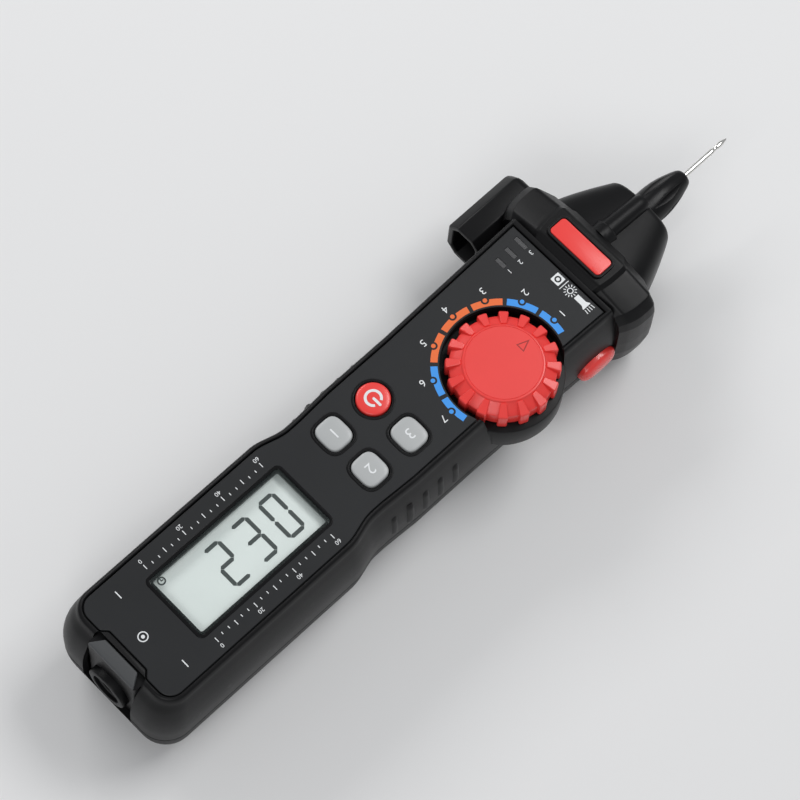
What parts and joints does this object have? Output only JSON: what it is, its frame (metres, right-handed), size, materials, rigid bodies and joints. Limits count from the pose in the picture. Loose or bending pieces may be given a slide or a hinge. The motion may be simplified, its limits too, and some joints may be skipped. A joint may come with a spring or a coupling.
{
  "type": "pen multimeter",
  "caption": "Hand-held pen multimeter with a display, rotary switch, keys, side button, fixed needle probe at the head and a 4 mm socket at the tail.",
  "frame": {"origin": "on the flat back that the meter rests on, on the centreline, midway between the tail and the needle's tip", "axes": "+Z leaves the display, +Y runs to the needle's tip, +X is to the right with the needle pointing away from the viewer"},
  "size_m": [0.0571, 0.225, 0.038],
  "materials": {
    "black_case": "moulded black plastic, satin, fine grain",
    "black_plastic": "moulded black plastic, smoother than the case",
    "grey_sheet": "dark grey face sheet, matt",
    "grey_insert": "mid grey plastic, matt",
    "clear_window": "clear window, polished",
    "display_glass": "pale reflective liquid crystal panel",
    "light_plate": "white diffuser plastic",
    "smoked_bar": "smoked grey light bars",
    "zebra_rubber": "pale conductive rubber strip",
    "green_board": "green glass fibre board with solder mask",
    "dark_component": "black moulded component bodies",
    "red_plastic": "red moulded plastic, semi-gloss",
    "grey_key": "light grey moulded key, satin",
    "white_plastic": "natural white plastic",
    "screw_steel": "zinc plated steel",
    "needle_nickel": "polished nickel plate",
    "brass": "spring brass",
    "lamp_clear": "clear epoxy lamp",
    "fuse_glass": "ceramic body with plated caps",
    "cell_wrap": "plain cell wrapper"
  },
  "bodies": {
    "meter": {"front_shell": "black_case", "rear_shell": "black_case", "face_sheet": "grey_sheet", "display_bezel": "black_plastic", "display_window": "clear_window", "display_glass": "display_glass", "backlight": "light_plate", "display_frame": "light_plate", "zebra_strips": "zebra_rubber", "main_board": "green_board", "main_chip": "dark_component", "key_domes": "brass", "detent_ring": "white_plastic", "side_switch": "dark_component", "indicator_lights": "white_plastic", "indicator_windows": "smoked_bar", "head_collar": "black_case", "nose_front": "black_case", "nose_rear": "black_case", "probe_sleeve": "black_plastic", "probe_needle": "needle_nickel", "probe_terminal": "brass", "probe_strap": "brass", "torch_lamp": "lamp_clear", "sensing_plate": "brass", "label_frame": "black_plastic", "label_plate": "red_plastic", "probe_holder": "black_case", "jack_block": "black_plastic", "tail_insert": "grey_insert", "com_socket": "brass", "com_strap": "brass", "batteries": "cell_wrap", "battery_springs": "screw_steel", "battery_contacts": "screw_steel", "case_screws": "screw_steel", "board_screws": "screw_steel", "buzzer": "dark_component", "fuse": "fuse_glass", "fuse_clips": "brass", "capacitors": "dark_component"},
    "dial": {"dial_knob": "red_plastic", "dial_screw": "screw_steel", "switch_rotor": "white_plastic", "wiper_contacts": "brass", "detent_balls": "screw_steel", "detent_springs": "screw_steel"},
    "power_key": {"key_power": "red_plastic"},
    "left_key": {"key_left": "grey_key"},
    "right_upper_key": {"key_right_upper": "grey_key"},
    "right_lower_key": {"key_right_lower": "grey_key"},
    "side_button": {"side_button": "red_plastic"},
    "battery_cover": {"battery_cover": "black_case", "cover_screw": "screw_steel"}
  },
  "joints": [
    {"name": "dial_turn", "type": "hinge", "parent": "meter", "child": "dial", "pos_m": [0.00945, 0.0169, 0.036], "axis": [0, 0, 1], "range_deg": [0, 180]},
    {"name": "power_key_press", "type": "slide", "parent": "meter", "child": "power_key", "axis": [0, 0, -1], "range_m": [0, 0.0008], "stiffness_N_per_m": 400},
    {"name": "left_key_press", "type": "slide", "parent": "meter", "child": "left_key", "axis": [0, 0, -1], "range_m": [0, 0.0008], "stiffness_N_per_m": 400},
    {"name": "right_upper_key_press", "type": "slide", "parent": "meter", "child": "right_upper_key", "axis": [0, 0, -1], "range_m": [0, 0.0008], "stiffness_N_per_m": 400},
    {"name": "right_lower_key_press", "type": "slide", "parent": "meter", "child": "right_lower_key", "axis": [0, 0, -1], "range_m": [0, 0.0008], "stiffness_N_per_m": 400},
    {"name": "side_button_press", "type": "slide", "parent": "meter", "child": "side_button", "axis": [-1, 0, 0], "range_m": [0, 0.001], "stiffness_N_per_m": 400},
    {"name": "battery_cover_lift", "type": "slide", "parent": "meter", "child": "battery_cover", "axis": [0, 0, -1], "range_m": [0, 0.012]}
  ]
}
